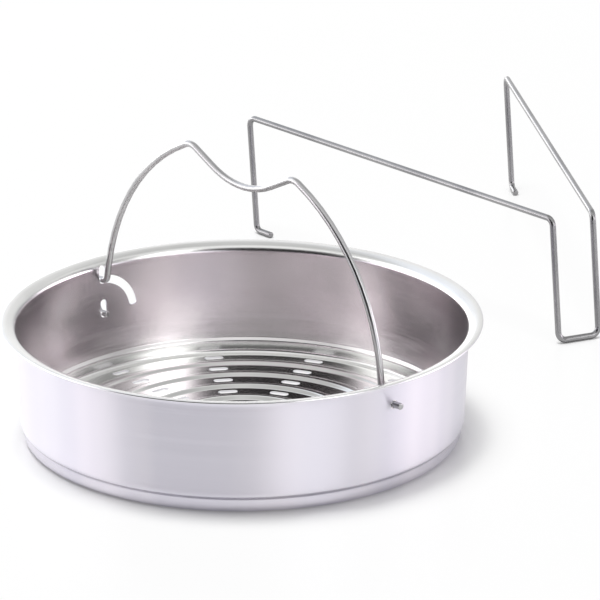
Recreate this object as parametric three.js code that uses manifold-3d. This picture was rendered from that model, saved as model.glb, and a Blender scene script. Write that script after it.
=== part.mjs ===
// Perforated steamer insert: a drawn steel basket, the folding wire handle that
// hangs in openings of its wall, and the loose wire stand that carries it.
// Millimetres, +Z up. The origin is on the basket's axis, on the surface it stands on.
import * as THREE from 'three';
import { mergeVertices } from 'three/addons/utils/BufferGeometryUtils.js';
import Module from 'manifold-3d';

const wasm = await Module();
wasm.setup();

// Driving dimensions of the basket
const sheet = 0.8; // thickness of the drawn steel sheet
const basketHeight = 54.2; // from the underside to the top of the lip
const lipRadius = 108; // outer edge of the lip
const lipRun = 2.4; // level outer part of the lip
const lipRise = 1.5; // from the root of the rim to the lip
const rimBend = 3.2; // bend where the wall turns out into the rim
const lipBend = 5; // bend where the rim levels out
const wallTopRadius = 101.4; // middle of the sheet, under the rim
const wallFootRadius = 99.8; // middle of the sheet, above the step
const stepHeight = 7.2; // middle of the step above the underside
const stepDepth = 1.4; // how far the foot stands in from the wall
const stepFall = 1.6; // slope of the step over its depth
const stepBend = 1.1; // bends on both sides of the step
const footBend = 2.4; // bend from the foot into the base

// Driving dimensions of the base: ring ribs, and a ring of slots outside each rib
const ribCount = 5;
const ribPitch = 15.1; // from one rib to the next
const firstRibRadius = 23.4;
const ribHeight = 1.3;
const ribWidth = 7;
const ribCrest = 2; // width of the level top of a rib
const slotsPerRing = 12;
const slotLength = 9.2;
const slotWidth = 3.8;
const slotTurn = 9.3; // degrees from +Y to the first slot of each ring

// Driving dimensions of the handle and of its openings in the wall
const wireDiameter = 3;
const wireClearance = 0.5; // round the wire in every opening
const handleTurn = -49; // degrees from +X to the near end of the handle
const nearPivotHeight = 41.6;
const farPivotHeight = 28.5;
const hookOffset = 16.5; // from the far pivot up to the wire's second way through the wall
const foldAngle = 80; // degrees from upright to folded down
const lockLift = 4.8; // straight run of the two upright slots
const stubReach = 4.6; // near end of the wire outside the wall
const tipReach = 3; // far end of the wire inside the wall
const nearLimbGap = 5.4; // between the wall and the near limb at its foot
const farLimbGap = 1.6; // between the wall and the far limb at its foot
const hookGap = 3.2; // between the wall and the hook outside it
const nearLimbLean = 6; // degrees that the near limb leans in
const farLimbLean = 11.5; // degrees that the far limb leans in
const peakSpacing = 70; // between the two peaks of the grip
const peakHeight = 127.6; // corner of a peak, before its bend
const saddleHeight = 110.4; // corner of the saddle, before its bend
const shoulderSlope = 24.6; // degrees that the shoulders fall from the peaks
const peakBend = 8;
const saddleBend = 45;
const endBend = 3; // bends at the two ends of the handle
const runSpare = 1; // least straight wire between two bends

// Driving dimensions of the stand and the place where it stands
const standHeight = 61.4; // top of its arms
const standReach = 216.6; // from the middle of the two rear legs to the front leg
const standSpread = 153.3; // between the two rear legs, square to the reach
const rearSkew = 11.5; // how much further back one rear leg stands than the other
const frontWidth = 21.5; // between the two wires of the front leg
const legRake = 9.1; // how far each leg leans towards the front leg
const toeRun = 11.5; // level foot of a rear leg
const standBend = 4;
const toeBend = 3.4;
const standTurn = -66; // degrees from +X to the front leg
const standX = 155.8;
const standY = 124.5;

// Fineness of the faceted surfaces
const turnSegments = 48;
const wireSides = 10;
const wireBendStep = 20; // degrees of bend for each ring of a wire
const sheetBendStep = 45; // degrees of bend for each edge of the sheet's outline
const roundSteps = 3; // edges round a half circle in an opening
const arcSteps = 10; // edges along the curved slot
const longestChord = 11; // along any bend
const punchDepth = 24; // length of the tools that cut the openings

const steel = { metalness: 1, roughness: 0.22 };
const sheetSteel = new THREE.MeshStandardMaterial({ color: 0xd9d8dc, ...steel });
const wireSteel = new THREE.MeshStandardMaterial({ color: 0xb4b3b4, ...steel });

const radians = THREE.MathUtils.degToRad;
const wireRadius = wireDiameter / 2;

// Rounds the corners of a line: every inner corner with a bend becomes an arc. Gives points and headings.
function bendCorners(corners, bends, degreesPerStep) {
  const points = [corners[0].clone()];
  const headings = [corners[1].clone().sub(corners[0]).normalize()];
  for (let i = 1; i < corners.length - 1; i += 1) {
    const heading = corners[i].clone().sub(corners[i - 1]).normalize();
    const nextHeading = corners[i + 1].clone().sub(corners[i]).normalize();
    const turn = heading.angleTo(nextHeading);
    const reach = bends[i] * Math.tan(turn / 2);
    const start = corners[i].clone().addScaledVector(heading, -reach);
    const side = nextHeading.clone().addScaledVector(heading, -Math.cos(turn)).normalize();
    const byAngle = THREE.MathUtils.radToDeg(turn) / degreesPerStep;
    const steps = Math.max(1, Math.ceil(byAngle), Math.ceil((bends[i] * turn) / longestChord));
    for (let k = 0; k <= steps; k += 1) {
      const angle = (turn * k) / steps;
      points.push(
        start
          .clone()
          .addScaledVector(heading, bends[i] * Math.sin(angle))
          .addScaledVector(side, bends[i] * (1 - Math.cos(angle))),
      );
      headings.push(
        heading.clone().multiplyScalar(Math.cos(angle)).addScaledVector(side, Math.sin(angle)),
      );
    }
  }
  const last = corners.length - 1;
  points.push(corners[last].clone());
  headings.push(corners[last].clone().sub(corners[last - 1]).normalize());
  return { points, headings };
}

// A wire's middle line whose rings sit only where the wire bends or ends
class BentWire extends THREE.Curve {
  constructor(corners, bends) {
    super();
    Object.assign(this, bendCorners(corners, bends, wireBendStep));
    this.steps = this.points.length - 1;
  }

  getPoint(t, target = new THREE.Vector3()) {
    return target.copy(this.points[Math.round(t * this.steps)]);
  }

  getPointAt(u, target) {
    return this.getPoint(u, target);
  }

  getTangentAt(u, target = new THREE.Vector3()) {
    return target.copy(this.headings[Math.round(u * this.steps)]);
  }
}

function wireGeometry(corners, bends) {
  const path = new BentWire(corners, bends);
  const section = new THREE.Shape();
  for (let i = 0; i < wireSides; i += 1) {
    const angle = (2 * Math.PI * (i + 0.5)) / wireSides;
    const x = wireRadius * Math.cos(angle);
    const y = wireRadius * Math.sin(angle);
    if (i === 0) section.moveTo(x, y);
    else section.lineTo(x, y);
  }
  return new THREE.ExtrudeGeometry(section, {
    steps: path.steps,
    extrudePath: path,
    curveSegments: 1,
  });
}

// A slot with round ends along the way from one point to another, as a flat shape
function slotShape(from, to, width) {
  const angle = Math.atan2(to.y - from.y, to.x - from.x);
  const shape = new THREE.Shape();
  shape.absarc(to.x, to.y, width / 2, angle - Math.PI / 2, angle + Math.PI / 2, false);
  shape.absarc(from.x, from.y, width / 2, angle + Math.PI / 2, angle + 1.5 * Math.PI, false);
  return shape;
}

// A quarter-ring slot about the origin, from straight up and over to the right
function arcSlotShape(radius, sweep, width) {
  const up = Math.PI / 2;
  const end = up - sweep;
  const shape = new THREE.Shape();
  shape.absarc(0, 0, radius + width / 2, up, end, true);
  shape.absarc(radius * Math.cos(end), radius * Math.sin(end), width / 2, end, end - Math.PI, true);
  shape.absarc(0, 0, radius - width / 2, end, up, false);
  shape.absarc(0, radius, width / 2, up + Math.PI, up, true);
  return shape;
}

// Pushes a flat shape through the sheet, half the depth to each side of its plane
function punch(shape, place, curveSegments = roundSteps) {
  const geometry = new THREE.ExtrudeGeometry(shape, { depth: punchDepth, bevelEnabled: false, curveSegments });
  geometry.translate(0, 0, -punchDepth / 2);
  geometry.applyMatrix4(place);
  return geometry;
}

function toSolid(geometry) {
  const bare = geometry.clone();
  bare.deleteAttribute('normal');
  bare.deleteAttribute('uv');
  const merged = mergeVertices(bare, 1e-4);
  const index = merged.index.array;
  const triangles = [];
  for (let i = 0; i < index.length; i += 3) {
    const [a, b, c] = index.subarray(i, i + 3);
    if (a !== b && b !== c && c !== a) triangles.push(a, b, c);
  }
  return new wasm.Manifold(
    new wasm.Mesh({
      numProp: 3,
      vertProperties: new Float32Array(merged.attributes.position.array),
      triVerts: new Uint32Array(triangles),
    }),
  );
}

function toGeometry(solid) {
  const mesh = solid.getMesh();
  const geometry = new THREE.BufferGeometry();
  geometry.setAttribute('position', new THREE.BufferAttribute(mesh.vertProperties, 3));
  geometry.setIndex(new THREE.BufferAttribute(mesh.triVerts, 1));
  geometry.computeVertexNormals();
  return geometry;
}

function namedMesh(name, geometry, material) {
  const mesh = new THREE.Mesh(geometry, material);
  mesh.name = name;
  return mesh;
}

// Middle line of the sheet from the axis to the lip, as radius and height
const baseLevel = sheet / 2;
const lipLevel = basketHeight - sheet / 2;
const footRadius = wallFootRadius - stepDepth;
const rimRoot = lipLevel - lipRise;

function wallRadius(height) {
  const share = (height - stepHeight) / (rimRoot - stepHeight);
  return wallFootRadius + (wallTopRadius - wallFootRadius) * share;
}

function sheetLine() {
  const line = [[0, baseLevel]];
  for (let i = 0; i < ribCount; i += 1) {
    const radius = firstRibRadius + i * ribPitch;
    line.push([radius - ribWidth / 2, baseLevel]);
    line.push([radius - ribCrest / 2, baseLevel + ribHeight]);
    line.push([radius + ribCrest / 2, baseLevel + ribHeight]);
    line.push([radius + ribWidth / 2, baseLevel]);
  }
  const corners = [
    [firstRibRadius + (ribCount - 1) * ribPitch + ribWidth / 2, baseLevel, 0],
    [footRadius, baseLevel, footBend],
    [footRadius, stepHeight - stepFall / 2, stepBend],
    [wallFootRadius, stepHeight + stepFall / 2, stepBend],
    [wallTopRadius, rimRoot, rimBend],
    [lipRadius - lipRun, lipLevel, lipBend],
    [lipRadius, lipLevel, 0],
  ];
  const bent = bendCorners(
    corners.map(([r, z]) => new THREE.Vector3(r, z, 0)),
    corners.map(([, , bend]) => bend),
    sheetBendStep,
  );
  return line.concat(bent.points.slice(1).map((point) => [point.x, point.y]));
}

// Gives the line the sheet's thickness and turns the closed outline about the axis
function basketShell() {
  const line = sheetLine().map(([r, z]) => new THREE.Vector2(r, z));
  const under = [];
  const over = [];
  for (let i = 0; i < line.length; i += 1) {
    const before = line[Math.max(i - 1, 0)];
    const after = line[Math.min(i + 1, line.length - 1)];
    const here = line[i];
    const incoming = i > 0 ? here.clone().sub(before).normalize() : after.clone().sub(here).normalize();
    const outgoing = i < line.length - 1 ? after.clone().sub(here).normalize() : incoming;
    const along = incoming.clone().add(outgoing).normalize();
    const offset = sheet / 2 / along.dot(incoming);
    const normal = new THREE.Vector2(-along.y, along.x);
    under.push(here.clone().addScaledVector(normal, -offset));
    over.push(here.clone().addScaledVector(normal, offset));
  }
  const outline = under.concat(over.reverse());
  const geometry = new THREE.LatheGeometry(outline, turnSegments);
  geometry.rotateX(Math.PI / 2);
  return toSolid(geometry);
}

// The handle's hinge line: from the far pivot at the lower slot to the near hole
const across = new THREE.Vector3(Math.cos(radians(handleTurn)), Math.sin(radians(handleTurn)), 0);
const up = new THREE.Vector3(0, 0, 1);
const inPlane = (s, z) => across.clone().multiplyScalar(s).addScaledVector(up, z);
const nearPivot = inPlane(wallRadius(nearPivotHeight), nearPivotHeight);
const farPivot = inPlane(-wallRadius(farPivotHeight), farPivotHeight);
const hingeAxis = nearPivot.clone().sub(farPivot).normalize();
const foldSide = new THREE.Vector3().crossVectors(up, across);
const hingeUp = new THREE.Vector3().crossVectors(hingeAxis, foldSide);
const openingWidth = wireDiameter + 2 * wireClearance;

// Places a flat shape square to the hinge line: x to the side it folds to, y up, z along the line
function squareToHinge(point) {
  return new THREE.Matrix4()
    .makeBasis(foldSide, hingeUp, new THREE.Vector3().crossVectors(foldSide, hingeUp))
    .setPosition(point);
}

function handleOpenings() {
  const hook = new THREE.Vector2(0, hookOffset);
  const lift = new THREE.Vector2(0, lockLift);
  const pivot = new THREE.Vector2(0, 0);
  const atFar = squareToHinge(farPivot);
  return [
    punch(arcSlotShape(hookOffset, radians(foldAngle), openingWidth), atFar, arcSteps),
    punch(slotShape(hook, hook.clone().add(lift), openingWidth), atFar),
    punch(slotShape(pivot, lift, openingWidth), atFar),
    punch(slotShape(pivot, pivot, openingWidth), squareToHinge(nearPivot)),
  ];
}

function baseSlots() {
  const slots = [];
  const half = new THREE.Vector2((slotLength - slotWidth) / 2, 0);
  for (let ring = 0; ring < ribCount; ring += 1) {
    const radius = firstRibRadius + (ring + 0.5) * ribPitch;
    for (let i = 0; i < slotsPerRing; i += 1) {
      const angle = radians(slotTurn + (360 / slotsPerRing) * i);
      const place = new THREE.Matrix4()
        .makeRotationZ(angle)
        .multiply(new THREE.Matrix4().makeTranslation(0, radius, baseLevel));
      slots.push(punch(slotShape(half.clone().negate(), half, slotWidth), place));
    }
  }
  return slots;
}

function basket() {
  let solid = basketShell();
  for (const opening of [...handleOpenings(), ...baseSlots()]) {
    solid = solid.subtract(toSolid(opening));
  }
  return namedMesh('basket', toGeometry(solid), sheetSteel);
}

// One wire: stub, limb, two peaks with a saddle between them, limb, and a hook through the wall
function handle() {
  const hook = farPivot.clone().addScaledVector(hingeUp, hookOffset);
  const halfSheet = sheet / 2;
  const halfGrip = peakSpacing / 2;
  const fall = Math.tan(radians(shoulderSlope));
  const peakTurn = radians(shoulderSlope) + Math.atan2(peakHeight - saddleHeight, halfGrip);
  const peakReach = peakBend * Math.tan(peakTurn / 2);
  const onHinge = (point, s) => {
    const step = (s - point.dot(across)) / hingeAxis.dot(across);
    return point.clone().addScaledVector(hingeAxis, step);
  };
  const limb = (sign, root, gap, leanAngle) => {
    const lean = Math.tan(radians(leanAngle));
    const inside = wallRadius(root.z) - halfSheet - gap - wireRadius;
    const foot = onHinge(root, sign * inside);
    const rise = peakHeight + halfGrip * fall - foot.z;
    const s = (inside - rise * lean) / (1 - fall * lean);
    const shoulder = inPlane(sign * s, peakHeight - (s - halfGrip) * fall);
    const peak = inPlane(sign * halfGrip, peakHeight);
    const run = Math.min(shoulder.distanceTo(peak) - peakReach, shoulder.distanceTo(foot) - endBend);
    const turn = Math.PI / 2 - radians(leanAngle + shoulderSlope);
    return { foot, shoulder, peak, bend: (run - runSpare) / Math.tan(turn / 2) };
  };
  const near = limb(1, nearPivot, nearLimbGap, nearLimbLean);
  const far = limb(-1, hook, farLimbGap, farLimbLean);
  const hookOutside = onHinge(hook, -(wallRadius(farPivotHeight) + halfSheet + hookGap + wireRadius));
  const line = [
    [onHinge(nearPivot, wallRadius(nearPivotHeight) + halfSheet + stubReach), 0],
    [near.foot, endBend],
    [near.shoulder, near.bend],
    [near.peak, peakBend],
    [inPlane(0, saddleHeight), saddleBend],
    [far.peak, peakBend],
    [far.shoulder, far.bend],
    [far.foot, endBend],
    [hookOutside, endBend],
    [hookOutside.clone().addScaledVector(hingeUp, -hookOffset), endBend],
    [onHinge(farPivot, -(wallRadius(farPivotHeight) - halfSheet - tipReach)), 0],
  ];
  const corners = line.map(([corner]) => corner);
  const bends = line.map(([, bend]) => bend);
  return namedMesh('bail_handle', wireGeometry(corners, bends), wireSteel);
}

// One wire: rear foot, leg and arm on each side, and a front leg bent double between them
function stand() {
  const floor = wireRadius;
  const top = standHeight - wireRadius;
  const side = (sign) => {
    const rear = new THREE.Vector2(-standReach - (sign * rearSkew) / 2, (sign * standSpread) / 2);
    const front = new THREE.Vector2(0, (sign * frontWidth) / 2);
    const along = front.clone().sub(rear).normalize();
    const foot = rear.clone().add(new THREE.Vector2(legRake, 0));
    const toe = foot.clone().addScaledVector(along, toeRun);
    return [
      new THREE.Vector3(toe.x, toe.y, floor),
      new THREE.Vector3(foot.x, foot.y, floor),
      new THREE.Vector3(rear.x, rear.y, top),
      new THREE.Vector3(front.x, front.y, top),
      new THREE.Vector3(front.x + legRake, front.y, floor),
    ];
  };
  const corners = [...side(1), ...side(-1).reverse()];
  const half = [0, toeBend, standBend, standBend, standBend];
  const bends = [...half, ...half.slice().reverse()];
  const mesh = namedMesh('tripod_stand', wireGeometry(corners, bends), wireSteel);
  mesh.rotation.z = radians(standTurn);
  mesh.position.set(standX, standY, 0);
  return mesh;
}

const insert = new THREE.Group();
insert.add(basket(), handle(), stand());

export default insert;
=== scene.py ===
# %% [markdown]
# A steamer insert is a shallow steel basket that holds food above boiling water. This lesson builds its
# three pieces over an exact frame: the drawn basket, the wire handle that folds down into it, and the
# loose wire stand. The frame comes first, because each surface below takes the place of one of its solids.

# %% Open the frame
import math

import bpy
import numpy as np
from mathutils.geometry import delaunay_2d_cdt
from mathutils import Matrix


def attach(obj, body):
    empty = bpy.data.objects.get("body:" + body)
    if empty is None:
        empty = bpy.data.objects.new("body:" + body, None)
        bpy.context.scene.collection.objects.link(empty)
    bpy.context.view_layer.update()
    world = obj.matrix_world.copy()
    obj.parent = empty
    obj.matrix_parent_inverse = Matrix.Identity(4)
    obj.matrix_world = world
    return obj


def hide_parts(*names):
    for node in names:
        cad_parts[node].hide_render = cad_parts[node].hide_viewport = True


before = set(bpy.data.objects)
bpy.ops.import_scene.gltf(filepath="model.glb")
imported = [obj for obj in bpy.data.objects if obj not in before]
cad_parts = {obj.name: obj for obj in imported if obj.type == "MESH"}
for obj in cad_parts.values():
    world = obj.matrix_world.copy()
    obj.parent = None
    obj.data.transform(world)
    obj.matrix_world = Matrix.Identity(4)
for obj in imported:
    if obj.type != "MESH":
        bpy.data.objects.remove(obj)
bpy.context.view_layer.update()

print("frame nodes:", ", ".join(sorted(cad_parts)))

# %% [markdown]
# Sheet and wire share one habit: straight runs that meet in round bends. A bend could be a bevel on a
# mesh edge, but a line whose corners are rounded first serves the sheet's section and both wires alike.
# All sizes are in millimetres until a mesh is made, as on a workshop drawing.

# %% Lines with rounded corners
def unit(vectors):
    """Each vector divided by its own length."""
    return vectors / np.linalg.norm(vectors, axis=-1, keepdims=True)


def rounded_line(corners, bends, degrees):
    """Straight runs between corners, with an arc of radius b in each corner that has a bend.

    With headings h and g before and after a corner, and T the angle between them, the arc starts
    b*tan(T/2) before the corner. Its point at angle a is start + b*sin(a)*h + b*(1 - cos(a))*m,
    where m is square to h on the side that the line turns to. Its points are at most the degrees apart.
    """
    corners = np.asarray(corners, float)
    parts = [corners[:1]]
    for before, here, after, bend in zip(corners, corners[1:], corners[2:], bends[1:]):
        h = unit(here - before)
        g = unit(after - here)
        turn = math.acos(np.clip(h @ g, -1, 1))
        m = unit(g - h * (h @ g))
        a = np.linspace(0, turn, 1 + math.ceil(math.degrees(turn) / degrees))[:, None]
        start = here - h * bend * math.tan(turn / 2)
        parts.append(start + bend * np.sin(a) * h + bend * (1 - np.cos(a)) * m)
    return np.concatenate([*parts, corners[-1:]])


square_corner = rounded_line([[0, 0], [9, 0], [9, 9]], [0, 4, 0], degrees=9)
print("a square corner with a bend has", len(square_corner), "points")

# %% [markdown]
# A straight run is straight with no points between its ends, but smooth shading likes faces of even size.
# Subdivide could add points to a finished mesh. Here they go in while the line is still a line, where
# their spacing is one number.

# %% Even points along a line
def way_along(line):
    """Length of the line from its start to each of its points."""
    steps = np.linalg.norm(np.diff(line, axis=0), axis=1)
    return np.concatenate([[0], np.cumsum(steps)])


def closer(line, longest):
    """The same line with even points added where two neighbours lie further apart than the longest step."""
    way = way_along(line)
    counts = np.ceil(np.diff(way) / longest).astype(int)
    runs = [np.linspace(a, b, n, endpoint=False) for a, b, n in zip(way, way[1:], counts)]
    marks = np.concatenate([*runs, way[-1:]])
    return np.stack([np.interp(marks, way, column) for column in line.T], axis=1)


print("the same corner in short steps has", len(closer(square_corner, longest=1)), "points")

# %% [markdown]
# The basket is one sheet pressed over a tool, so it has a single section: flat middle, ring ribs, a round
# foot, a small step, a wall that opens a little, and a rim. It could be modelled as a solid and hollowed,
# but a section line with a thickness is how the real sheet behaves, and it keeps the wall even.

# %% Ribs of the base
sheet = 0.8
half_sheet = sheet / 2
base_level = half_sheet
first_rib = 23.4
rib_count = 5
rib_pitch = 15.1
rib_half_width = 3.5
rib_half_crest = 1
rib_height = 1.3
rib_radii = first_rib + rib_pitch * np.arange(rib_count)
rib = np.array(
    [
        [-rib_half_width, 0],
        [-rib_half_crest, rib_height],
        [rib_half_crest, rib_height],
        [rib_half_width, 0],
    ]
)
rib_places = np.stack([rib_radii, np.full(rib_count, base_level)], axis=1)
rib_corners = (rib_places[:, None] + rib).reshape(-1, 2)
print(rib_count, "ribs, the last", rib_radii[-1], "mm from the middle")

# %% [markdown]
# Outside the ribs the same line turns up into the wall. Each corner has its own bend, small at the step,
# where the tool is sharp, and wide under the lip, where the sheet is rolled out. The normals of the line
# are kept, because the sheet's two faces lie half a thickness to each side of it.

# %% Section of the basket
basket_height = 54.2
lip_radius = 108
lip_run = 2.4
lip_level = basket_height - half_sheet
rim_rise = 1.5
rim_root = lip_level - rim_rise
wall_foot_radius = 99.8
wall_top_radius = 101.4
step_in = 1.4
step_level = 7.2
step_fall = 1.6
foot_radius = wall_foot_radius - step_in
rib_bend = 3.6
foot_bend = 2.4
step_bend = 1.1
rim_bend = 3.2
lip_bend = 5
section_corners = [
    [0, base_level],
    *rib_corners,
    [foot_radius, base_level],
    [foot_radius, step_level - step_fall / 2],
    [wall_foot_radius, step_level + step_fall / 2],
    [wall_top_radius, rim_root],
    [lip_radius - lip_run, lip_level],
    [lip_radius - half_sheet, lip_level],
]
rib_bends = [rib_bend] * len(rib_corners)
section_bends = [0, *rib_bends, foot_bend, step_bend, step_bend, rim_bend, lip_bend, 0]
section = closer(rounded_line(section_corners, section_bends, degrees=8), longest=1.9)
section_way = way_along(section)
heading = unit(np.gradient(section, section_way, axis=0))
section_normal = np.stack([-heading[:, 1], heading[:, 0]], axis=1)
print("section of", len(section), "points,", round(section_way[-1], 1), "mm long")

# %% [markdown]
# Every opening is a closed outline. The base slots are straight with round ends, twelve to a ring. They
# could be cut with a Boolean, but outlines that are part of the sheet's own mesh leave its smooth shading
# undisturbed.

# %% Outline of a straight slot
outline_step = 0.9
half_circle_points = 11
slot_length = 9.2
slot_width = 3.8


def arc(centre, radius, start, end, count):
    """Points centre + radius*(cos(a), sin(a)) for even angles a from start to end, in degrees."""
    a = np.radians(np.linspace(start, end, count))
    return np.asarray(centre) + radius * np.stack([np.cos(a), np.sin(a)], axis=1)


def evened(outline):
    """A closed outline with points added along its straight sides."""
    return closer(np.concatenate([outline, outline[:1]]), outline_step)[:-1]


def slot_outline(start, end, width):
    """Two half circles of the slot's width about its two ends, joined by straight sides."""
    start, end = np.asarray(start, float), np.asarray(end, float)
    way = end - start
    lean = math.degrees(math.atan2(way[1], way[0]))
    end_arc = arc(end, width / 2, lean - 90, lean + 90, half_circle_points)
    start_arc = arc(start, width / 2, lean + 90, lean + 270, half_circle_points)
    return evened(np.concatenate([end_arc, start_arc]))


slot_half_run = (slot_length - slot_width) / 2
base_outline = slot_outline((-slot_half_run, 0), (slot_half_run, 0), slot_width)
print("base slot outlined by", len(base_outline), "points")

# %% [markdown]
# The far wall has a curved slot that the handle's wire swings along, joined to a short upright slot that
# the wire is lifted into, which locks the handle. It could be two slots laid over each other, but then
# their outlines would cross. One outline that runs round both leaves a clean edge.

# %% Outline of the curved slot
wire_radius = 1.5
wire_clearance = 0.5
opening = 2 * (wire_radius + wire_clearance)
hook_offset = 16.5
lock_lift = 4.8
swing = 80
quarter_circle_points = 6
ring_arc_points = 24


def curved_slot_outline():
    """The outline round a part of a ring about the pivot and the upright slot that rises from its start.

    It runs over the round top of the upright slot, down its left side, along the inner ring to the round
    far end, back along the outer ring to where the upright slot leaves it, and up its right side.
    """
    half = opening / 2
    inner = hook_offset - half
    outer = hook_offset + half
    low = 90 - swing
    leave = math.degrees(math.acos(half / outer))
    far_end = hook_offset * np.array([math.cos(math.radians(low)), math.sin(math.radians(low))])
    runs = [
        arc((0, hook_offset + lock_lift), half, 0, 180, half_circle_points),
        arc((0, hook_offset), half, 180, 270, quarter_circle_points),
        arc((0, 0), inner, 90, low, ring_arc_points)[1:],
        arc(far_end, half, low + 180, low + 360, half_circle_points)[1:],
        arc((0, 0), outer, low, leave, ring_arc_points)[1:],
    ]
    return evened(np.concatenate(runs))


print("curved slot outlined by", len(curved_slot_outline()), "points")

# %% [markdown]
# The handle turns about a slanted line: its near end sits in a hole high in the wall, its far end in a
# lower slot. The line could be typed in as two points, but both ends lie on the wall, so their heights and
# one bearing are enough.

# %% Hinge line
handle_turn = math.radians(-49)
near_height = 41.6
far_height = 28.5
across = np.array([math.cos(handle_turn), math.sin(handle_turn), 0])
upward = np.array([0, 0, 1.0])


def wall_radius(height):
    """The wall's middle radius, which grows evenly from the step to the root of the rim."""
    share = (height - step_level) / (rim_root - step_level)
    return wall_foot_radius + (wall_top_radius - wall_foot_radius) * share


near_pivot = across * wall_radius(near_height) + upward * near_height
far_pivot = -across * wall_radius(far_height) + upward * far_height
hinge = unit(near_pivot - far_pivot)
fold_side = np.cross(upward, across)
hinge_up = np.cross(hinge, fold_side)
print("hinge line leans", round(math.degrees(math.asin(hinge[2])), 1), "degrees")

# %% [markdown]
# The wall's openings are punched along the hinge line, so that the wire clears them all the way round.
# Each outline could be wrapped flat round the wall, but it would then be askew to the wire. Drawn on a
# plane square to the hinge line and slid along it until it meets the wall, it is true.

# %% Openings of the wall
hole_points = 24
slide_rounds = 3


def on_wall(outline, pivot):
    """Angle about the basket's axis, and height, of each point of an outline punched through the wall.

    A point (x, y) starts at pivot + x*fold_side + y*hinge_up and slides along the hinge line until its
    distance from the axis is the wall's radius at its height. Sliding changes the height a little, so
    it is done a few times over.
    """
    points = pivot + outline[:, :1] * fold_side + outline[:, 1:] * hinge_up
    for _ in range(slide_rounds):
        reach = np.sqrt(wall_radius(points[:, 2]) ** 2 - (points @ fold_side) ** 2)
        slide = (np.sign(pivot @ across) * reach - points @ across) / (hinge @ across)
        points = points + slide[:, None] * hinge
    return np.stack([np.arctan2(points[:, 1], points[:, 0]), points[:, 2]], axis=1)


pivot_slot = slot_outline((0, 0), (0, lock_lift), opening)
pivot_hole = arc((0, 0), opening / 2, 0, 360, hole_points + 1)[:-1]
far_outlines = [on_wall(curved_slot_outline(), far_pivot), on_wall(pivot_slot, far_pivot)]
near_outlines = [on_wall(pivot_hole, near_pivot)]
print("openings in the wall:", len(far_outlines) + len(near_outlines))

# %% [markdown]
# The sheet is a grid of angle and way along the section, so each opening needs the same two numbers. A
# base slot's points have a radius, a wall opening's have a height, and the section says how far along
# itself each of them lies.

# %% Openings on the grid
slots_per_ring = 12
slot_offset = 9.3
first_slot = math.radians(90 + slot_offset)
past_the_land = 0.1
base_end = np.searchsorted(section[:, 0], foot_radius - foot_bend + past_the_land)


def way_on_base(radius):
    """Way along the section to a radius on the flat lands of the base."""
    return np.interp(radius, section[:base_end, 0], section_way[:base_end])


def way_on_wall(height):
    """Way along the section to a height on the wall."""
    return np.interp(height, section[base_end + 1 :, 1], section_way[base_end + 1 :])


def base_slot(radius, angle):
    """A straight slot across the radius, given as angle and way along the section."""
    x, y = (base_outline + [0, radius]).T
    return np.stack([angle - np.arctan2(x, y), way_on_base(np.hypot(x, y))], axis=1)


windows = []
for slot_radius in rib_radii + rib_pitch / 2:
    for slot_angle in first_slot + 2 * math.pi * np.arange(slots_per_ring) / slots_per_ring:
        windows.append(([base_slot(slot_radius, slot_angle)], slot_radius))
for outlines in (far_outlines, near_outlines):
    laid = [np.stack([o[:, 0], way_on_wall(o[:, 1])], axis=1) for o in outlines]
    windows.append((laid, wall_foot_radius))
print("openings in all:", sum(len(outlines) for outlines, _ in windows))

# %% [markdown]
# Near an opening, a window of the grid is taken out and filled with triangles between the window's edge
# and the outline. To know what to leave out, a point has to be told apart as inside or outside. Counting
# how often a ray from it crosses the outline works for any shape, the curved slot too.

# %% Windows of the grid
turns = 192
grid_step = 2 * math.pi / turns
side_spare = 1.2
end_spare = 0.5


def inside(points, outline):
    """True for points that a ray to the right crosses the closed outline from an odd number of times."""
    ax, ay = outline[:, 0], outline[:, 1]
    bx, by = np.roll(ax, -1), np.roll(ay, -1)
    x, y = points[:, :1], points[:, 1:]
    spans = (ay > y) != (by > y)
    rise = np.where(by == ay, 1, by - ay)
    crossing = ax + (y - ay) * (bx - ax) / rise
    return (spans & (x < crossing)).sum(axis=1) % 2 == 1


def window_of(outlines, radius):
    """Rows and columns of the grid that frame the outlines with a little to spare on each side."""
    low = np.min([o.min(axis=0) for o in outlines], axis=0)
    high = np.max([o.max(axis=0) for o in outlines], axis=0)
    first_column = math.floor((low[0] - side_spare / radius - first_slot) / grid_step)
    last_column = math.ceil((high[0] + side_spare / radius - first_slot) / grid_step)
    first_row = np.searchsorted(section_way, low[1] - end_spare) - 1
    last_row = np.searchsorted(section_way, high[1] + end_spare)
    return np.arange(first_row, last_row + 1), np.arange(first_column, last_column + 1)


print("rows and columns round the wall's slots:", [len(part) for part in window_of(*windows[-2])])

# %% [markdown]
# The triangles could be laid by hand as fans, but round a curved slot they would be long and thin, and
# thin triangles spoil smooth shading. Blender's own constrained triangulation keeps the outline's edges
# and makes the rest as even as it can.

# %% Fill one window
too_near = 0.6
weld = 1e-6


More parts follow.
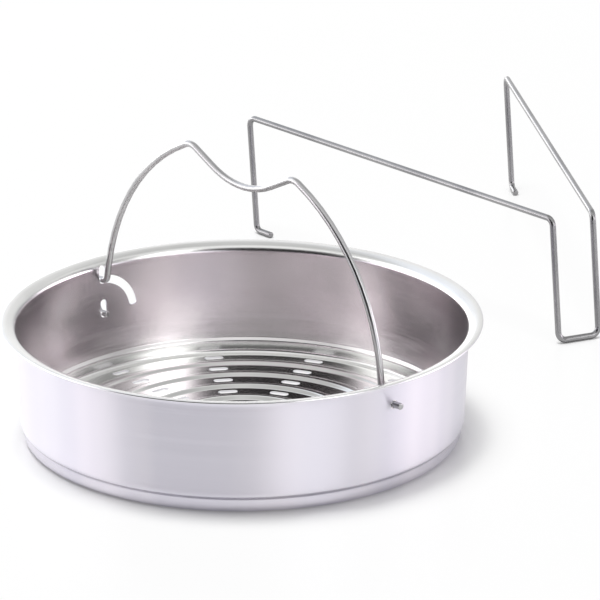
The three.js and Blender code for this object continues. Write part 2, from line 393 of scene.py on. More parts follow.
def fill_window(outlines, radius, first_new):
    """Net triangles between the edge of a window of the grid and the outlines inside it.

    Points are laid flat as (angle*radius, way). Grid points that are too near an outline, or inside it,
    are left out. A triangle whose middle is inside an outline is left out too, which leaves the opening.
    """
    rows, columns = window_of(outlines, radius)
    grid_angle, grid_way = np.meshgrid(first_slot + columns * grid_step, section_way[rows])
    grid_net = 1 + (rows[:, None] - 1) * turns + columns % turns
    flat = np.stack([grid_angle * radius, grid_way], axis=-1).reshape(-1, 2)
    flat_outlines = [o * [radius, 1] for o in outlines]
    rim = np.concatenate(flat_outlines)
    on_edge = np.ones(grid_way.shape, bool)
    on_edge[1:-1, 1:-1] = False
    near = np.linalg.norm(flat[:, None] - rim, axis=2).min(axis=1) < too_near
    cut = np.any([inside(flat, o) for o in flat_outlines], axis=0)
    keep = on_edge.ravel() | ~(near | cut)
    points = np.concatenate([flat[keep], rim])
    net = np.concatenate([grid_net.ravel()[keep], first_new + np.arange(len(rim))])
    starts = keep.sum() + np.cumsum([0, *map(len, outlines)])
    loops = [np.arange(a, b) for a, b in zip(starts, starts[1:])]
    edges = np.concatenate([np.stack([loop, np.roll(loop, -1)], axis=1) for loop in loops])
    laid = delaunay_2d_cdt([tuple(p) for p in points], edges.tolist(), [], 0, weld)
    _, _, laid_faces, laid_from, _, _ = laid
    source = np.array([origins[0] for origins in laid_from])
    corners = source[np.array(laid_faces)]
    middles = points[corners].mean(axis=1)
    open_space = np.any([inside(middles, o) for o in flat_outlines], axis=0)
    return rows, columns, net[corners[~open_space][:, ::-1]]


print("triangles round the wall's slots:", len(fill_window(*windows[-2], first_new=0)[2]))

# %% [markdown]
# The net is what remains of the grid, all the filled windows, and a fan in the middle of the base. It has
# no thickness yet: it is a list of points given as angle and way, and of faces between them, which both
# faces of the sheet then share.

# %% Net of the perforated sheet
stations = len(section)
way_grid, turn_grid = np.meshgrid(section_way[1:], np.arange(turns), indexing="ij")
grid_points = np.stack([first_slot + turn_grid * grid_step, way_grid], axis=-1).reshape(-1, 2)
net_points = [np.array([[first_slot, 0.0]]), grid_points]
net_count = 1 + len(grid_points)
kept_cells = np.ones((stations - 2, turns), bool)
first_ring = 1 + np.arange(turns)
triangles = [np.stack([0 * first_ring, first_ring, np.roll(first_ring, -1)], axis=1)]
for outlines, radius in windows:
    rows, columns, filled = fill_window(outlines, radius, net_count)
    kept_cells[rows[0] - 1 : rows[-1] - 1, columns[:-1] % turns] = False
    triangles.append(filled)
    net_points.extend(outlines)
    net_count += sum(map(len, outlines))
net_points = np.concatenate(net_points)
triangles = np.concatenate(triangles)
cell_row, cell_turn = np.nonzero(kept_cells)
corner = 1 + cell_row * turns + cell_turn
beside = 1 + cell_row * turns + (cell_turn + 1) % turns
quads = np.stack([corner, corner + turns, beside + turns, beside], axis=1)
print("net of", len(quads), "squares and", len(triangles), "triangles")

# %% [markdown]
# The sheet's two faces are the same net, half a thickness to each side of the section. Solidify could add
# the thickness, but it would leave the lip's edge square, and here the trimmed edge is polished round.

# %% Faces of the sheet
lip_tilts = (45, 0, -45)


def along_section(column, way):
    """A quantity of the section at each way along it."""
    return np.interp(way, section_way, column)


def sheet_face(net, side):
    """Net points on one face of the sheet: radius and height plus side*half a thickness along the normal."""
    angle, way = net.T
    offset = side * half_sheet
    radius = along_section(section[:, 0], way) + offset * along_section(section_normal[:, 0], way)
    height = along_section(section[:, 1], way) + offset * along_section(section_normal[:, 1], way)
    return np.stack([radius * np.cos(angle), radius * np.sin(angle), height], axis=1)


def lip_ring(tilt):
    """A ring of the lip's half-round edge: end of the section + half a thickness at a tilt from level."""
    tilt = math.radians(tilt)
    end = section[-1] + half_sheet * (math.sin(tilt) * section_normal[-1] + math.cos(tilt) * heading[-1])
    angle = first_slot + np.arange(turns) * grid_step
    return np.stack([end[0] * np.cos(angle), end[0] * np.sin(angle), np.full(turns, end[1])], axis=1)


lip_rings = [lip_ring(tilt) for tilt in lip_tilts]
basket_points = np.concatenate([sheet_face(net_points, 1), sheet_face(net_points, -1), *lip_rings])
print("points on both faces and the lip:", len(basket_points))

# %% [markdown]
# A mesh needs its two faces joined: straight across at each opening, as a punch leaves it, and in a half
# circle round the lip. Wherever an edge of the net has a face on one side only, it is such a border, so
# the borders need no list of their own.

# %% Borders of the sheet
def open_borders(*face_sets):
    """Directed edges that no other face runs along the other way."""
    edges = np.concatenate([np.stack([f, np.roll(f, -1, axis=1)], axis=2).reshape(-1, 2) for f in face_sets])
    code = edges[:, 0] * net_count + edges[:, 1]
    back = edges[:, 1] * net_count + edges[:, 0]
    return edges[~np.isin(back, code)]


lip_first = 1 + (stations - 2) * turns
borders = open_borders(quads, triangles)
at_lip = (borders >= lip_first).all(axis=1) & (borders < lip_first + turns).all(axis=1)
rims = borders[~at_lip]
rim_strips = np.concatenate([rims[:, ::-1], rims + net_count], axis=1)
lip_edges = borders[at_lip]
lip_rows = [lip_edges]
lip_rows += [lip_edges - lip_first + 2 * net_count + k * turns for k in range(len(lip_tilts))]
lip_rows += [lip_edges + net_count]
lip_strips = np.concatenate([np.concatenate([a[:, ::-1], b], axis=1) for a, b in zip(lip_rows, lip_rows[1:])])
print("border strips:", len(rim_strips), "at openings,", len(lip_strips), "round the lip")

# %% [markdown]
# Now the arrays become a piece. A small function serves all three pieces: it fills the mesh, smooths it,
# keeps the punched and filed edges sharp, and tells the frame which node it rides on and replaces. The
# basket also gets a mark for its outer face, which its finish will read.

# %% Basket
per_metre = 1000
punched_crease = 40


def new_piece(name, node, points, faces, sharp):
    """A smooth-shaded mesh from points in millimetres, creased where faces meet at more than the angle."""
    mesh = bpy.data.meshes.new(name)
    mesh.from_pydata(points / per_metre, [], faces)
    mesh.shade_smooth()
    mesh.set_sharp_from_angle(angle=math.radians(sharp))
    piece = bpy.data.objects.new(name, mesh)
    bpy.context.scene.collection.objects.link(piece)
    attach(piece, node)
    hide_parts(node)
    print(name, len(mesh.vertices), "points", len(mesh.polygons), "faces")
    return piece


basket_quads = np.concatenate([quads, quads[:, ::-1] + net_count, rim_strips, lip_strips])
basket_triangles = np.concatenate([triangles, triangles[:, ::-1] + net_count])
used = np.zeros(len(basket_points), bool)
used[basket_quads] = True
used[basket_triangles] = True
renumber = np.cumsum(used) - 1
basket_faces = renumber[basket_quads].tolist() + renumber[basket_triangles].tolist()
basket = new_piece("drawn_basket", "basket", basket_points[used], basket_faces, punched_crease)
lip_points = len(lip_tilts) * turns
outer_face = np.concatenate([np.zeros(net_count), np.ones(net_count), np.full(lip_points, 0.5)])
layer = basket.data.attributes.new("outer_face", "FLOAT", "POINT")
layer.data.foreach_set("value", outer_face[used].astype(np.float32))

# %% [markdown]
# Both wires are a round section carried along a bent line. Blender's curve bevel would do it too, but a
# tube laid out here gets ends that are filed round. Its rings have to stand square to the line without
# twisting, so each ring takes its first spoke from the ring before.

# %% Rings of a tube
wire_sides = 24
filed_edge = 0.5
end_rings = 5
off_wire = [0.31, 0.54, 0.78]


def tube_spine(line):
    """Middle, heading and radius of each ring of a tube along a line.

    At both ends the rings shrink in a quarter circle of angle q: each lies filed*(1 - sin(q)) from the
    end, and its radius is that of the wire less filed*(1 - cos(q)).
    """
    way = way_along(line)
    headings = unit(np.gradient(line, way, axis=0))
    quarter = np.radians(np.linspace(0, 90, end_rings))
    shrink = wire_radius - filed_edge + filed_edge * np.cos(quarter)
    inset = filed_edge * (1 - np.sin(quarter))
    start = line[0] + np.outer(inset[::-1], headings[0])
    stop = line[-1] - np.outer(inset, headings[-1])
    body = (way > 2 * filed_edge) & (way < way[-1] - 2 * filed_edge)
    first, last = (np.tile(end, (end_rings, 1)) for end in (headings[0], headings[-1]))
    middle = np.concatenate([start, line[body], stop])
    along = np.concatenate([first, headings[body], last])
    radii = np.concatenate([shrink[::-1], np.full(body.sum(), wire_radius), shrink])
    return middle, along, radii


def spokes_of(along):
    """Spokes cos(u)*n + sin(u)*b of every ring, with u the turn round the wire.

    n is square to the heading and is carried along without twist: at each ring, what lies along the
    new heading is taken out of it. b is heading x n.
    """
    normals = [unit(np.cross(along[0], off_wire))]
    for toward in along[1:]:
        normals.append(unit(normals[-1] - toward * (normals[-1] @ toward)))
    normals = np.array(normals)
    sideways = np.cross(along, normals)
    u = 2 * math.pi * np.arange(wire_sides) / wire_sides
    return np.cos(u)[None, :, None] * normals[:, None] + np.sin(u)[None, :, None] * sideways[:, None]


print("wire", 2 * wire_radius, "mm thick, with", wire_sides, "sides")

# %% [markdown]
# The rings are joined to a tube with two flat ends. It also gets a map that follows the wire, turn across
# and length along, for the marks that drawing it through a die leaves. Unwrap could find such a map, but
# the rings already know it.

# %% Tube along a line
filed_crease = 50


def wire_piece(name, node, line):
    """A tube whose ring at a point is point + radius*spokes, mapped by share of a turn and by length."""
    middle, along, radii = tube_spine(line)
    points = middle[:, None] + radii[:, None, None] * spokes_of(along)
    rings = len(middle)
    row, turn = np.meshgrid(np.arange(rings - 1), np.arange(wire_sides), indexing="ij")
    a = (row * wire_sides + turn).ravel()
    b = (row * wire_sides + (turn + 1) % wire_sides).ravel()
    end = np.arange(wire_sides)
    faces = np.stack([a, b, b + wire_sides, a + wire_sides], axis=1).tolist()
    faces.append(end[::-1].tolist())
    faces.append(((rings - 1) * wire_sides + end).tolist())
    piece = new_piece(name, node, points.reshape(-1, 3), faces, filed_crease)
    length = way_along(middle) / per_metre
    around = np.stack([turn, turn + 1, turn + 1, turn], axis=-1) / wire_sides
    lengthwise = np.stack([length[row], length[row], length[row + 1], length[row + 1]], axis=-1)
    ends = np.zeros((2 * wire_sides, 2))
    mapped = np.concatenate([np.stack([around, lengthwise], axis=-1).reshape(-1, 2), ends])
    layer = piece.data.uv_layers.new(name="along_wire")
    layer.data.foreach_set("uv", mapped.astype(np.float32).ravel())
    return piece


print("wires are creased where faces meet at more than", filed_crease, "degrees")

# %% [markdown]
# A limb of the handle climbs inside the wall, leans in, and rounds a long shoulder to its peak. The
# shoulder could be drawn by eye, but its bend is simply the largest that the two straight runs leave room
# for, which is how bent wire looks.

# %% Limbs of the handle
peak_half_spacing = 35
peak_height = 127.6
saddle_height = 110.4
shoulder_slope = 24.6
peak_bend = 8
end_bend = 3
run_spare = 1


def along_hinge(point, reach):
    """The point moved along the hinge line until its distance across the basket is the given reach."""
    return point + hinge * (reach - point @ across) / (hinge @ across)


def on_handle_plane(reach, height):
    """The point of the handle's upright plane at a distance across the basket and a height."""
    return across * reach + upward * height


def limb(sign, root, gap, lean):
    """Foot, shoulder and peak of one limb, and the largest shoulder bend that its straight runs leave.

    The limb's line starts at the foot and leans in. The shoulder's line falls outwards from the peak.
    Their crossing is the shoulder corner, and half its turn's tangent gives the bend from the runs.
    """
    lean_in = math.tan(math.radians(lean))
    fall = math.tan(math.radians(shoulder_slope))
    reach = wall_radius(root[2]) - half_sheet - gap - wire_radius
    foot = along_hinge(root, sign * reach)
    rise = peak_height + peak_half_spacing * fall - foot[2]
    out = (reach - rise * lean_in) / (1 - fall * lean_in)
    shoulder = on_handle_plane(sign * out, peak_height - (out - peak_half_spacing) * fall)
    peak = on_handle_plane(sign * peak_half_spacing, peak_height)
    peak_turn = math.radians(shoulder_slope) + math.atan2(peak_height - saddle_height, peak_half_spacing)
    to_peak = np.linalg.norm(shoulder - peak) - peak_bend * math.tan(peak_turn / 2)
    to_foot = np.linalg.norm(shoulder - foot) - end_bend
    half_turn = math.radians(90 - lean - shoulder_slope) / 2
    return foot, shoulder, peak, (min(to_peak, to_foot) - run_spare) / math.tan(half_turn)


hook = far_pivot + hinge_up * hook_offset
near_foot, near_shoulder, near_peak, near_bend = limb(1, near_pivot, gap=5.4, lean=6)
far_foot, far_shoulder, far_peak, far_bend = limb(-1, hook, gap=1.6, lean=11.5)
print("shoulder bends:", round(near_bend), "and", round(far_bend), "mm")

# %% [markdown]
# The handle starts as a plain stub through the near wall, climbs to the first peak, dips in a saddle for
# the fingers, and comes down the other side. There it leaves the basket through the curved slot, runs down
# outside, and comes back in through the lower slot as its pivot. One list of corners tells that whole way.

# %% Handle
saddle_bend = 45
hook_gap = 3.2
stub_reach = 4.6
tip_reach = 3
hook_outside = along_hinge(hook, -(wall_radius(far_height) + half_sheet + hook_gap + wire_radius))
handle_line = [
    (along_hinge(near_pivot, wall_radius(near_height) + half_sheet + stub_reach), 0),
    (near_foot, end_bend),
    (near_shoulder, near_bend),
    (near_peak, peak_bend),
    (on_handle_plane(0, saddle_height), saddle_bend),
    (far_peak, peak_bend),
    (far_shoulder, far_bend),
    (far_foot, end_bend),
    (hook_outside, end_bend),
    (hook_outside - hinge_up * hook_offset, end_bend),
    (along_hinge(far_pivot, -(wall_radius(far_height) - half_sheet - tip_reach)), 0),
]
handle_corners, handle_bends = zip(*handle_line)
handle_way = closer(rounded_line(handle_corners, handle_bends, degrees=5), longest=6)
handle = wire_piece("wire_handle", "bail_handle", handle_way)

# %% [markdown]
# The stand is one wire as well: a short level foot, a rear leg, an arm to the front, a front leg bent
# double, and the same way back. Its two halves could be mirrored, but the rear legs of bent wire don't
# stand quite even, so each half is worked out with its own skew. Its feet stand on the same surface as the
# basket, behind it.

# %% Stand
stand_height = 61.4
stand_reach = 216.6
stand_spread = 153.3
rear_skew = 11.5
front_width = 21.5
leg_rake = 9.1
toe_run = 11.5
toe_bend = 3.4
leg_bend = 4
stand_turn = math.radians(-66)
stand_place = np.array([155.8, 124.5, 0])


def stand_side(sign):
    """Corners of one half of the stand, from the end of its foot to the bottom of the front leg."""
    top = stand_height - wire_radius
    rear = np.array([-stand_reach - sign * rear_skew / 2, sign * stand_spread / 2, 0])
    front = np.array([0, sign * front_width / 2, 0])
    foot = rear + [leg_rake, 0, wire_radius]
    toe = foot + toe_run * unit(front - rear)
    return [toe, foot, rear + [0, 0, top], front + [0, 0, top], front + [leg_rake, 0, wire_radius]]


half_bends = [0, toe_bend, leg_bend, leg_bend, leg_bend]
stand_bends = half_bends + half_bends[::-1]
turned = np.array(
    [
        [math.cos(stand_turn), -math.sin(stand_turn), 0],
        [math.sin(stand_turn), math.cos(stand_turn), 0],
        [0, 0, 1],
    ]
)
stand_corners = np.array(stand_side(1) + stand_side(-1)[::-1]) @ turned.T + stand_place
stand_way = closer(rounded_line(stand_corners, stand_bends, degrees=8), longest=8)
stand = wire_piece("wire_stand", "tripod_stand", stand_way)

# %% [markdown]
# Stainless steel is a metal with nothing over it, so its finish is one shader whose colour, roughness and
# relief change from place to place. The nodes could be drawn by hand in the Shader Editor. Written out,
# the same few small functions serve the sheet, both wires, the floor and the studio.

# %% Steel of the sheet
def add_node(material, kind, **settings):
    """A node of a material or of the world, with its plain settings filled in."""
    node = material.node_tree.nodes.new(kind)
    for name, value in settings.items():
        setattr(node, name, value)
    return node


def join(material, source, target):
    """Links an output socket to an input socket."""
    material.node_tree.links.new(source, target)


def new_steel(name):
    """A metal and its shader, ready for its details."""
    material = bpy.data.materials.new(name)
    material.use_nodes = True
    shader = material.node_tree.nodes["Principled BSDF"]
    shader.inputs["Metallic"].default_value = 1
    return material, shader


sheet_steel, sheet_shader = new_steel("drawn_sheet_steel")
print("new steel:", sheet_steel.name)

# %% [markdown]
# The sheet's finish goes by where a point lies: its height, its distance from the axis, and whether it is
# inside or outside. Three materials would do too, but heights and the mark on the mesh let the finishes
# run into each other as they do on the sheet. From here on lengths are in metres, as the meshes have them.

# %% Where a point of the sheet lies
def vector_math(material, operation, vector, constant=(0, 0, 0)):
    """Outputs of an operation on a vector, with a plain second vector where the operation takes one."""
    node = add_node(material, "ShaderNodeVectorMath", operation=operation)
    join(material, vector, node.inputs[0])
    node.inputs[1].default_value = constant
    return node.outputs


def parts_of(material, vector):
    """The X, Y and Z outputs of a vector."""
    node = add_node(material, "ShaderNodeSeparateXYZ")
    join(material, vector, node.inputs["Vector"])
    return node.outputs


place = add_node(sheet_steel, "ShaderNodeTexCoord").outputs["Object"]
height = parts_of(sheet_steel, place)["Z"]
level_place = vector_math(sheet_steel, "MULTIPLY", place, (1, 1, 0))["Vector"]
from_axis = vector_math(sheet_steel, "LENGTH", level_place)["Value"]
outward = vector_math(sheet_steel, "NORMALIZE", level_place)["Vector"]
round_axis = vector_math(sheet_steel, "CROSS_PRODUCT", place, (0, 0, 1))["Vector"]
outside = add_node(sheet_steel, "ShaderNodeAttribute", attribute_name="outer_face").outputs["Fac"]
print("nodes that place a point:", len(sheet_steel.node_tree.nodes))

# %% [markdown]
# Stainless sheet is a little uneven in tone where it was drawn. A single grey would do from afar, but soft
# upright bands of lighter and darker grey give the wall that uneven tone, and they are also painted
# reflection: in part they stand for the upright bands that a round steel wall reflects. They could be
# painted as an image, but noise over the direction from the axis gives them with no seam.

# %% Bands of the sheet
band_span = (0.36, 0.64)


def noise(material, vector, scale, detail, roughness=0.5):
    """Even cloudy noise over a vector, from about 0.3 to 0.7."""
    node = add_node(material, "ShaderNodeTexNoise")
    join(material, vector, node.inputs["Vector"])
    node.inputs["Scale"].default_value = scale
    node.inputs["Detail"].default_value = detail
    node.inputs["Roughness"].default_value = roughness
    return node.outputs["Fac"]


def ranged(material, source, span, result):
    """A value carried smoothly from one range to another and held at its ends."""
    node = add_node(material, "ShaderNodeMapRange", interpolation_type="SMOOTHSTEP")
    join(material, source, node.inputs["Value"])
    for socket, value in zip(("From Min", "From Max", "To Min", "To Max"), (*span, *result)):
        node.inputs[socket].default_value = value
    return node.outputs["Result"]


# The bands are random tone and, in part, painted reflection bands.
tone_and_painted_reflection_bands = ranged(sheet_steel, noise(sheet_steel, outward, scale=2.2, detail=2), band_span, (0, 1))
print("bands where the noise goes from", band_span[0], "to", band_span[1])

# %% [markdown]
# Base and rim are brightest, the wall inside is warmer, and the wall outside is cooler. The warm tint
# inside and the lavender tint outside are painted reflection colour, the tint each wall takes from what it
# reflects. Each of them has a dark and a light grey that the bands run between. Vertex colours could hold
# the three tones, but blends by height are finer than any mesh.

# %% Tone of the sheet
base_to_wall = (0.004, 0.012)
wall_to_rim = (0.0495, 0.0525)
bright_greys = (0.80, 0.80, 0.79), (0.86, 0.86, 0.85)
# The warm tint of the inner greys and the lavender tint of the outer greys are painted reflection colour.
inner_greys_with_painted_tint = (0.73, 0.68, 0.705), (0.80, 0.75, 0.77)
outer_greys_with_painted_tint = (0.72, 0.70, 0.775), (0.82, 0.79, 0.85)


def combined(material, operation, first, *others):
    """Several values taken together in turn by one operation, such as ADD or MULTIPLY."""
    result = first
    for other in others:
        node = add_node(material, "ShaderNodeMath", operation=operation)
        join(material, result, node.inputs[0])
        join(material, other, node.inputs[1])
        result = node.outputs["Value"]
    return result


def blend(material, factor, first, second):
    """A colour that goes from the first to the second, each a plain colour or the output of a node."""
    node = add_node(material, "ShaderNodeMix", data_type="RGBA")
    join(material, factor, node.inputs["Factor"])
    for side, colour in (("A", first), ("B", second)):
        if isinstance(colour, tuple):
            node.inputs[side].default_value = (*colour, 1)
        else:
            join(material, colour, node.inputs[side])
    return node.outputs["Result"]


bright_tone = blend(sheet_steel, tone_and_painted_reflection_bands, *bright_greys)
inner_tone = blend(sheet_steel, tone_and_painted_reflection_bands, *inner_greys_with_painted_tint)
outer_tone = blend(sheet_steel, tone_and_painted_reflection_bands, *outer_greys_with_painted_tint)
low_polish = ranged(sheet_steel, height, base_to_wall, (1, 0))
rim_polish = ranged(sheet_steel, height, wall_to_rim, (0, 1))
polish = combined(sheet_steel, "ADD", low_polish, rim_polish)
inside_tone = blend(sheet_steel, polish, inner_tone, bright_tone)
sheet_tone = blend(sheet_steel, outside, inside_tone, outer_tone)
join(sheet_steel, sheet_tone, sheet_shader.inputs["Base Color"])
print("greys of the sheet:", bright_greys[1], inner_greys_with_painted_tint[1], outer_greys_with_painted_tint[1])

# %% [markdown]
# The base is polished almost to a mirror as far as the bend of the foot, and the wall is satin. Outside,
# the wall is brushed round and round, which draws each reflection out into an upright band. Thousands of
# scratches could be modelled as relief, but an anisotropic shader does what they do together. Only the
# polishing wheel's fine rings are relief.

# %% Polish, satin and brushing
polished_roughness = 0.07
satin_roughness = 0.24
polish_to_satin = (0.0950, 0.0968)
foot_to_brushed = (0.006, 0.010)
brushed_to_rim = (0.0490, 0.0525)
noise_span = (0.3, 0.7)
wheel_mark_range = (-0.03, 0.03)
brushed_extra = 0.1
brushed_stretch = 0.9
quarter_turn = 0.25


def dented(material, shader, height, strength, depth):
    """Surface relief from a height, too fine to be worth a mesh."""
    node = add_node(material, "ShaderNodeBump")
    node.inputs["Strength"].default_value = strength
    node.inputs["Distance"].default_value = depth
    join(material, height, node.inputs["Height"])
    join(material, node.outputs["Normal"], shader.inputs["Normal"])


ring_place = add_node(sheet_steel, "ShaderNodeCombineXYZ")
join(sheet_steel, from_axis, ring_place.inputs["X"])
join(sheet_steel, height, ring_place.inputs["Y"])
polish_rings = noise(sheet_steel, ring_place.outputs["Vector"], scale=1500, detail=3, roughness=0.6)
wheel_marks = ranged(sheet_steel, polish_rings, noise_span, wheel_mark_range)
satin = ranged(sheet_steel, from_axis, polish_to_satin, (polished_roughness, satin_roughness))
above_foot = ranged(sheet_steel, height, foot_to_brushed, (0, 1))
below_rim = ranged(sheet_steel, height, brushed_to_rim, (1, 0))
brushed = combined(sheet_steel, "MULTIPLY", above_foot, below_rim, outside)
scratches = ranged(sheet_steel, brushed, (0, 1), (0, brushed_extra))
stretch = ranged(sheet_steel, brushed, (0, 1), (0, brushed_stretch))
sheet_roughness = combined(sheet_steel, "ADD", wheel_marks, satin, scratches)
join(sheet_steel, sheet_roughness, sheet_shader.inputs["Roughness"])
join(sheet_steel, round_axis, sheet_shader.inputs["Tangent"])
join(sheet_steel, stretch, sheet_shader.inputs["Anisotropic"])
sheet_shader.inputs["Anisotropic Rotation"].default_value = quarter_turn
dented(sheet_steel, sheet_shader, polish_rings, strength=0.03, depth=0.0002)
print("roughness from", polished_roughness, "on the base to", satin_roughness, "on the wall")

# %% [markdown]
# Drawn wire is duller than the sheet, with fine lines along it from the die. The lines could be an image
# wrapped round the tube, but noise on the wire's own map, squeezed round it and drawn out along it, never
# repeats. Both wires get greys well below the steel's own colour: painted shade for the dark reflections
# they show. The stand's greys are darker still, so it carries more painted shade.

# %% Steel of the wires
die_line_squeeze = (26, 9, 1)
wire_roughness = (0.20, 0.32)
# Both pairs of greys are painted shade: darker than the steel itself, for the dark reflections the wires
# show.
handle_greys_with_painted_shade = (0.45, 0.448, 0.455), (0.55, 0.545, 0.55)
stand_greys_with_painted_shade = (0.25, 0.248, 0.255), (0.33, 0.326, 0.33)


def new_wire(name, dark, light):
    """Steel wire with die lines along it, uneven in tone between two greys, which here are darkened as
    painted shade.
    """
    steel, shader = new_steel(name)
    wire_map = add_node(steel, "ShaderNodeUVMap", uv_map="along_wire").outputs["UV"]
    squeezed = vector_math(steel, "MULTIPLY", wire_map, die_line_squeeze)["Vector"]
    die_lines = noise(steel, squeezed, scale=1, detail=3, roughness=0.6)
    place = add_node(steel, "ShaderNodeTexCoord").outputs["Object"]
    dull = ranged(steel, noise(steel, place, scale=40, detail=3), noise_span, (0, 1))
    join(steel, blend(steel, dull, dark, light), shader.inputs["Base Color"])
    join(steel, ranged(steel, die_lines, noise_span, wire_roughness), shader.inputs["Roughness"])
    dented(steel, shader, die_lines, strength=0.10, depth=0.0002)
    return steel


handle_steel = new_wire("handle_wire_steel", *handle_greys_with_painted_shade)
stand_steel = new_wire("stand_wire_steel", *stand_greys_with_painted_shade)
for piece, material, slot in (
    (basket, sheet_steel, "drawn_sheet"),
    (handle, handle_steel, "handle_wire"),
    (stand, stand_steel, "stand_wire"),
):
    piece.data.materials.append(material)
    print(piece.name, "has", material.name)

# %% [markdown]
# The set starts with a pale, slightly glossy floor that fills the picture from any side. A curved backdrop
# is what a studio has, but a wide flat plane needs no horizon to hide.

# %% Floor
floor_half = 6
floor_grey = (0.90, 0.90, 0.90, 1)
floor_corners = floor_half * np.array([[-1, -1, 0], [1, -1, 0], [1, 1, 0], [-1, 1, 0]])
floor_mesh = bpy.data.meshes.new("floor")
floor_mesh.from_pydata(floor_corners.tolist(), [], [(0, 1, 2, 3)])
floor = bpy.data.objects.new("floor", floor_mesh)
bpy.context.scene.collection.objects.link(floor)
floor_white = bpy.data.materials.new("floor_white")
floor_white.use_nodes = True
floor_shader = floor_white.node_tree.nodes["Principled BSDF"]
floor_shader.inputs["Base Color"].default_value = floor_grey
floor_shader.inputs["Roughness"].default_value = 0.3
floor_shader.inputs["Specular IOR Level"].default_value = 0.8
floor_mesh.materials.append(floor_white)
print("floor", 2 * floor_half, "m wide")

# %% [markdown]
# The floor shows the shadow close to what stands on it and turns to plain white further away, as on a
# studio's light table. Lit from above alone it would be grey somewhere. Here the share of plain white
# grows with the open space round each point, which the ambient occlusion node measures. Only rays that
# see the floor directly or in a reflection meet that white, so it adds no light.

# %% White of the floor
shadow_reach = 0.026
open_space_span = (0.5, 0.95)
white_share = (0.10, 0.85)


def seen_directly(material):
    """One for rays from the camera, from reflections and through clear things, and zero for the light."""
    rays = add_node(material, "ShaderNodeLightPath").outputs
    kinds = ("Is Camera Ray", "Is Glossy Ray", "Is Transmission Ray")
    return combined(material, "MAXIMUM", *(rays[kind] for kind in kinds))


closeness = add_node(floor_white, "ShaderNodeAmbientOcclusion", samples=8)
closeness.inputs["Distance"].default_value = shadow_reach
clear_of_object = ranged(floor_white, closeness.outputs["AO"], open_space_span, white_share)
share = combined(floor_white, "MULTIPLY", seen_directly(floor_white), clear_of_object)
white = add_node(floor_white, "ShaderNodeEmission")
layers = add_node(floor_white, "ShaderNodeMixShader")
join(floor_white, share, layers.inputs["Fac"])
join(floor_white, floor_shader.outputs["BSDF"], layers.inputs[1])
join(floor_white, white.outputs["Emission"], layers.inputs[2])
join(floor_white, layers.outputs["Shader"], floor_white.node_tree.nodes["Material Output"].inputs["Surface"])
print("shadow shows within", shadow_reach, "m")

# %% [markdown]
# Steel shows little but what stands round it, so the floor stands inside three rings of studio panels.
# Each panel is a bearing in degrees from the camera, a level, and a card, white or faintly tinted. They
# could be real planes with lamps behind them, but a bearing and a level are all that the steel can see.
# The low ring gives the bands outside, the high ring gives the glare and the dark lands inside, and the
# top ring is what the base shows from above. The lower two are dark where the camera stands.

# %% Panels of the studio
white_card = (1, 1, 1)
rose_card = (1, 0.91, 0.99)
lilac_card = (0.97, 0.96, 1.04)
cool_card = (0.96, 1, 1.08)
low_panels = [
    (-180, 1.2, white_card),
    (-150, 4.2, white_card),
    (-100, 4.2, white_card),
    (-82, 3.1, rose_card),
    (-64, 1.0, lilac_card),
    (-50, 0.03, lilac_card),
    (6, 0.03, lilac_card),
    (22, 2.4, lilac_card),
    (36, 1.4, white_card),
    (58, 0.2, lilac_card),
    (72, 1.9, lilac_card),
    (90, 4.6, rose_card),
    (115, 2.9, rose_card),
    (132, 0.3, lilac_card),
    (150, 0.3, lilac_card),
    (180, 1.2, white_card),
]
high_panels = [
    (-180, 0.97, white_card),
    (-155, 1.1, cool_card),
    (-125, 1.25, cool_card),
    (-105, 1.7, white_card),
    (-73, 1.8, white_card),
    (-60, 0.03, white_card),
    (24, 0.03, white_card),
    (36, 2.9, white_card),
    (50, 2.9, white_card),
    (60, 0.8, white_card),
    (77, 0.3, white_card),
    (100, 0.8, white_card),
    (120, 0.95, white_card),
    (140, 0.75, white_card),
    (165, 0.8, white_card),
    (180, 0.97, white_card),
]
top_panels = [
    (-180, 0.7, white_card),
    (-150, 0.55, white_card),
    (-60, 1.0, white_card),
    (60, 1.0, white_card),
    (150, 0.55, white_card),
    (180, 0.7, white_card),
]
print("panels:", len(low_panels), "low,", len(high_panels), "high,", len(top_panels), "overhead")

# %% [markdown]
# The rings are colours of the world, found from the direction in which a ray leaves. Plain light could
# come from the panels too, but their stripes would make a restless shadow. Rays that only carry light
# meet an even fill instead.

# %% Dome
low_to_high = (0.17, 0.29)
high_to_top = (0.70, 0.80)
even_fill = (0.32, 0.32, 0.32)
dome = bpy.data.worlds.new("studio_dome")
bpy.context.scene.world = dome
dome.use_nodes = True
sky = dome.node_tree.nodes["Background"]
direction = add_node(dome, "ShaderNodeTexCoord").outputs["Generated"]
compass = parts_of(dome, vector_math(dome, "MULTIPLY", direction, (1, -1, 1))["Vector"])
bearing = combined(dome, "ARCTAN2", compass["X"], compass["Y"])
turn_share = add_node(dome, "ShaderNodeMath", operation="MULTIPLY_ADD")
join(dome, bearing, turn_share.inputs[0])
turn_share.inputs[1].default_value = 1 / (2 * math.pi)
turn_share.inputs[2].default_value = 0.5


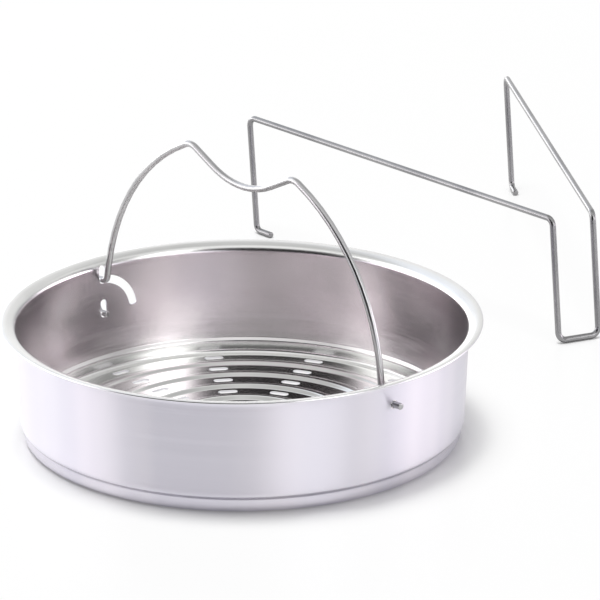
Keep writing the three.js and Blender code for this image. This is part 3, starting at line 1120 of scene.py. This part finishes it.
def ring_of(panels):
    """Colour of a ring of panels at each bearing, even between one panel's mark and the next."""
    ring = add_node(dome, "ShaderNodeValToRGB")
    join(dome, turn_share.outputs["Value"], ring.inputs["Fac"])
    stops = ring.color_ramp.elements
    for _ in panels[2:]:
        stops.new(0.5)
    for stop, (degrees, level, card) in zip(stops, panels):
        stop.position = 0.5 + degrees / 360
        stop.color = (*(level * part for part in card), 1)
    return ring.outputs["Color"]


above_floor = ranged(dome, compass["Z"], low_to_high, (0, 1))
overhead = ranged(dome, compass["Z"], high_to_top, (0, 1))
rings = blend(dome, above_floor, ring_of(low_panels), ring_of(high_panels))
rings = blend(dome, overhead, rings, ring_of(top_panels))
join(dome, blend(dome, seen_directly(dome), even_fill, rings), sky.inputs["Color"])
print("dome of", len(dome.node_tree.nodes), "nodes")

# %% [markdown]
# One wide lamp gives the shadow its side. An area lamp would show in the steel as a bright square, so this
# is a sun of a large angle, kept out of reflections, nearly overhead and a little to the left.

# %% Lamp
lamp_width = math.radians(22)
lamp_strength = 2.4
lamp_tilt = (math.radians(-2), math.radians(-10), 0)
lamp_light = bpy.data.lights.new("wide_lamp", "SUN")
lamp_light.angle = lamp_width
lamp_light.energy = lamp_strength
lamp = bpy.data.objects.new("wide_lamp", lamp_light)
lamp.visible_glossy = False
lamp.rotation_euler = lamp_tilt
bpy.context.scene.collection.objects.link(lamp)
print("lamp strength", lamp_strength)

# %% [markdown]
# The camera stands 1.8 m off with a long lens, 19.6 degrees above the table. These values were found by
# fitting the basket's lip, wall and foot to the picture's ellipses, so they are sizes like any other. The
# lens is written as the picture gives it, in pixels.

# %% Camera
elevation = math.radians(19.634)
camera_distance = 1.8
camera_aim = np.array([0.02594, 0, 0.06205])
picture_width_px = 600
lens_px = 4026
sensor_width = 36
camera_data = bpy.data.cameras.new("camera")
camera_data.sensor_width = sensor_width
camera_data.lens = lens_px / picture_width_px * sensor_width
camera = bpy.data.objects.new("camera", camera_data)
camera.location = camera_aim + camera_distance * np.array([0, -math.cos(elevation), math.sin(elevation)])
camera.rotation_euler = (math.pi / 2 - elevation, 0, 0)
bpy.context.scene.collection.objects.link(camera)
bpy.context.scene.camera = camera
bpy.context.scene.view_settings.view_transform = "Standard"
print("lens", round(camera_data.lens, 1), "mm")
